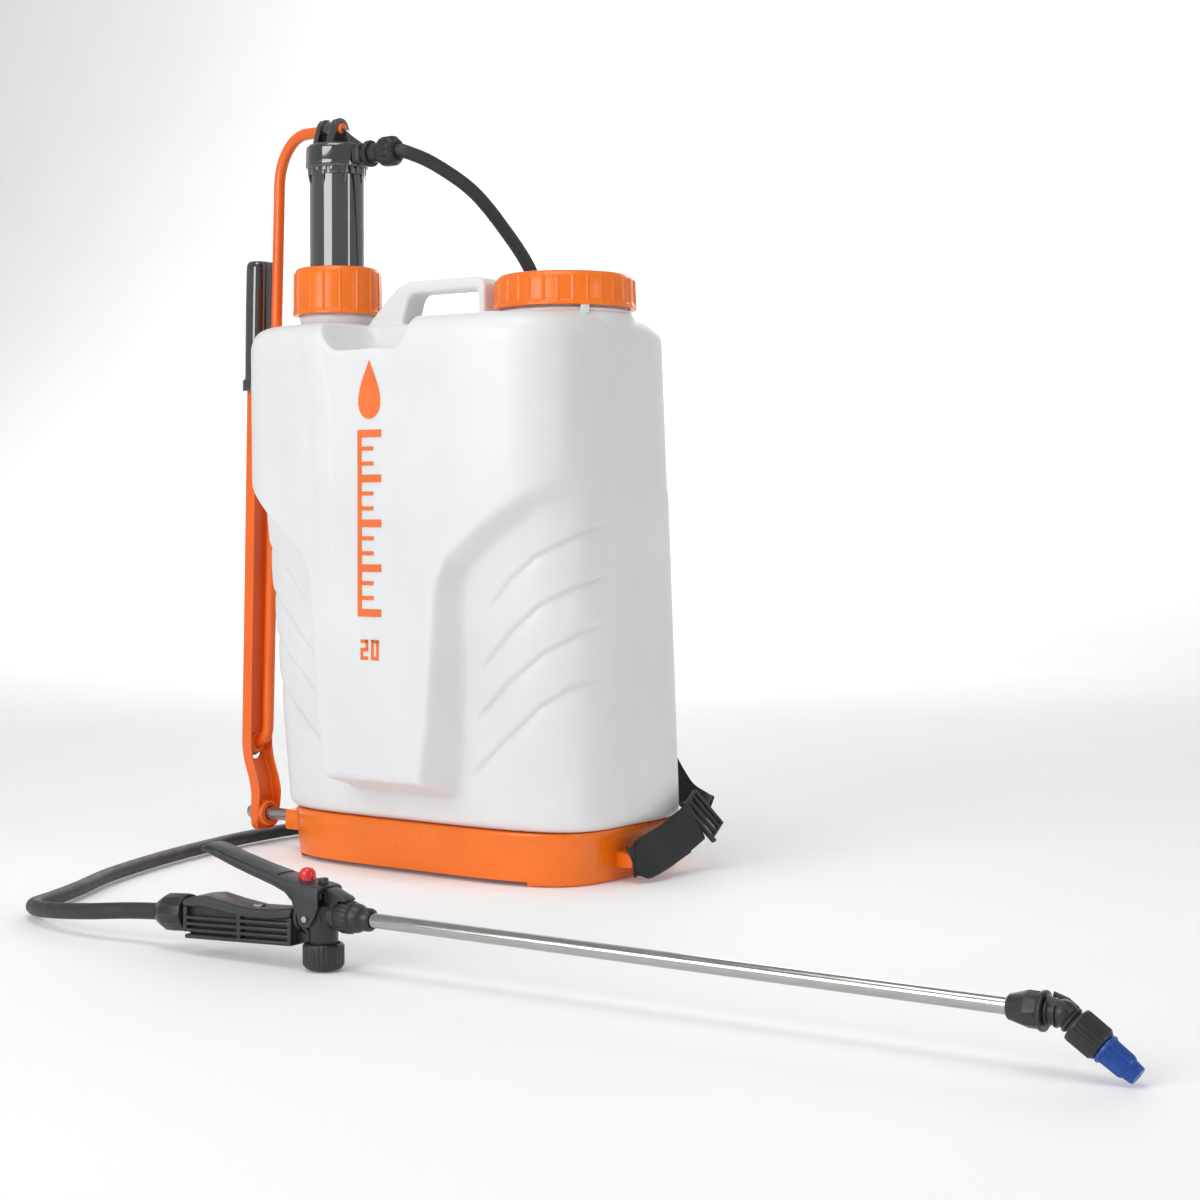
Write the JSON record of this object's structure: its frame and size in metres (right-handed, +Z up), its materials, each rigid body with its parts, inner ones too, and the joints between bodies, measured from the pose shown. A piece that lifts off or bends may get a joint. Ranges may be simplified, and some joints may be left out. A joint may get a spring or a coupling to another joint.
{
  "type": "backpack sprayer",
  "caption": "Knapsack sprayer: moulded tank on a base, side lever and link driving a piston pump, hose, trigger gun and lance with an angled nozzle.",
  "frame": {"origin": "middle of the base's footprint, at floor level", "axes": "+Z up; +X towards the filler lid side, -X towards the pump lever; -Y towards the front face of the tank; +Y towards the wearer's back"},
  "size_m": [1.0145, 0.6233, 0.665],
  "materials": {
    "white_hdpe": "blow-moulded translucent white polyethylene",
    "orange_plastic": "injection-moulded orange polypropylene",
    "orange_steel": "powder-coated steel",
    "gloss_black": "glossy black moulding",
    "matte_black": "matt black moulding",
    "rubber": "black rubber",
    "stainless": "polished stainless steel",
    "zinc_steel": "zinc-plated steel",
    "clear_grey": "natural grey polypropylene",
    "red_plastic": "glossy red moulding",
    "blue_plastic": "glossy blue moulding",
    "webbing": "black woven webbing and pad cloth"
  },
  "bodies": {
    "tank_body": {"tank": "white_hdpe", "base": "orange_plastic", "base_axle": "zinc_steel", "axle_washer": "zinc_steel", "pump_gasket": "rubber", "pump_barrel": "clear_grey", "foot_valve": "matte_black", "hose_upper": "rubber", "hose_joiner": "matte_black", "hose_clip": "matte_black", "hose_lower": "rubber", "gun_handle": "matte_black", "gun_hose_nut": "matte_black", "gun_filter": "clear_grey", "gun_valve_body": "matte_black", "valve_cap": "matte_black", "valve_spring": "stainless", "trigger_pin": "stainless", "collar_nut": "matte_black", "lance_seal": "rubber", "shoulder_pad_left": "webbing", "shoulder_pad_right": "webbing", "strap_anchor_left": "matte_black", "strap_anchor_right": "matte_black", "webbing_upper_left": "webbing", "webbing_upper_right": "webbing", "webbing_lower_left": "webbing", "webbing_lower_right": "webbing", "ladder_buckle_left": "matte_black", "ladder_buckle_right": "matte_black"},
    "lever": {"pump_lever": "orange_steel", "lever_grip": "gloss_black"},
    "chamber": {"chamber_tube": "gloss_black", "piston_cup": "rubber", "dip_tube": "clear_grey", "chamber_cap": "gloss_black", "outlet_nut": "matte_black"},
    "link": {"link_rod": "orange_steel", "link_washer": "zinc_steel"},
    "lid_seal": {"lid_gasket": "rubber"},
    "lid": {"filler_lid": "orange_plastic"},
    "pump_nut": {"pump_nut": "orange_plastic"},
    "strainer": {"filler_strainer": "matte_black"},
    "foot_ball": {"valve_ball": "stainless"},
    "trigger": {"trigger": "matte_black"},
    "lock": {"lock_button": "red_plastic"},
    "stem": {"valve_stem": "stainless"},
    "lance": {"lance_tube": "stainless", "tip_nut": "matte_black"},
    "elbow": {"tip_elbow": "matte_black", "tip_cap_nut": "matte_black"},
    "nozzle": {"nozzle": "blue_plastic"}
  },
  "joints": [
    {"name": "lever_stroke", "type": "hinge", "parent": "tank_body", "child": "lever", "pos_m": [-0.222, -0.058, 0.031], "axis": [-1, 0, 0], "range_deg": [0, 60]},
    {"name": "pump_slide", "type": "slide", "parent": "tank_body", "child": "chamber", "axis": [0, 0, 1], "range_m": [-0.038, 0], "deforming": ["hose_upper"]},
    {"name": "link_swing", "type": "hinge", "parent": "chamber", "child": "link", "pos_m": [-0.136, -0.05, 0.655], "axis": [1, 0, 0], "range_deg": [0, 5.2]},
    {"name": "lid_lift", "type": "slide", "parent": "tank_body", "child": "lid_seal", "axis": [0, 0, 1], "range_m": [0, 0.25]},
    {"name": "lid_turn", "type": "hinge", "parent": "lid_seal", "child": "lid", "pos_m": [0.117, -0.038, 0.494], "axis": [0, 0, 1], "continuous": true},
    {"name": "strainer_lift", "type": "slide", "parent": "tank_body", "child": "strainer", "axis": [0, 0, 1], "range_m": [0, 0.12]},
    {"name": "nut_turn", "type": "hinge", "parent": "tank_body", "child": "pump_nut", "pos_m": [-0.1275, -0.05, 0.51], "axis": [0, 0, 1], "continuous": true},
    {"name": "foot_ball_lift", "type": "slide", "parent": "tank_body", "child": "foot_ball", "axis": [0, 0, 1], "range_m": [0, 0.004]},
    {"name": "trigger_squeeze", "type": "hinge", "parent": "tank_body", "child": "trigger", "pos_m": [0.20998, -0.4542, 0.0355], "axis": [0.0628, -0.998, 0], "range_deg": [0, 13], "stiffness_Nm_per_rad": 1.2, "springref_deg": -8.59},
    {"name": "stem_lift", "type": "slide", "parent": "tank_body", "child": "stem", "axis": [0, 0, 1], "range_m": [0, 0.00128], "deforming": ["valve_spring"]},
    {"name": "lock_press", "type": "slide", "parent": "trigger", "child": "lock", "axis": [0, 0, -1], "range_m": [0, 0.003], "stiffness_N_per_m": 300},
    {"name": "lance_turn", "type": "hinge", "parent": "tank_body", "child": "lance", "pos_m": [0.2529, -0.4515, 0.0375], "axis": [0.998, 0.0628, -0.007], "continuous": true},
    {"name": "elbow_turn", "type": "hinge", "parent": "lance", "child": "elbow", "pos_m": [0.71199, -0.42262, 0.03428], "axis": [0.998, 0.0628, -0.007], "continuous": true},
    {"name": "nozzle_turn", "type": "hinge", "parent": "elbow", "child": "nozzle", "pos_m": [0.73095, -0.42142, 0.03415], "axis": [0.8175, 0.0514, -0.5736], "continuous": true}
  ],
  "couplings": [
    {"joint": "pump_slide", "follows": "lever_stroke", "m_per_rad": -0.03628},
    {"joint": "link_swing", "follows": "lever_stroke", "ratio": 0.0866},
    {"joint": "stem_lift", "follows": "trigger_squeeze", "m_per_rad": 0.0052},
    {"joint": "strainer_lift", "follows": "lid_lift", "ratio": 0.45}
  ]
}
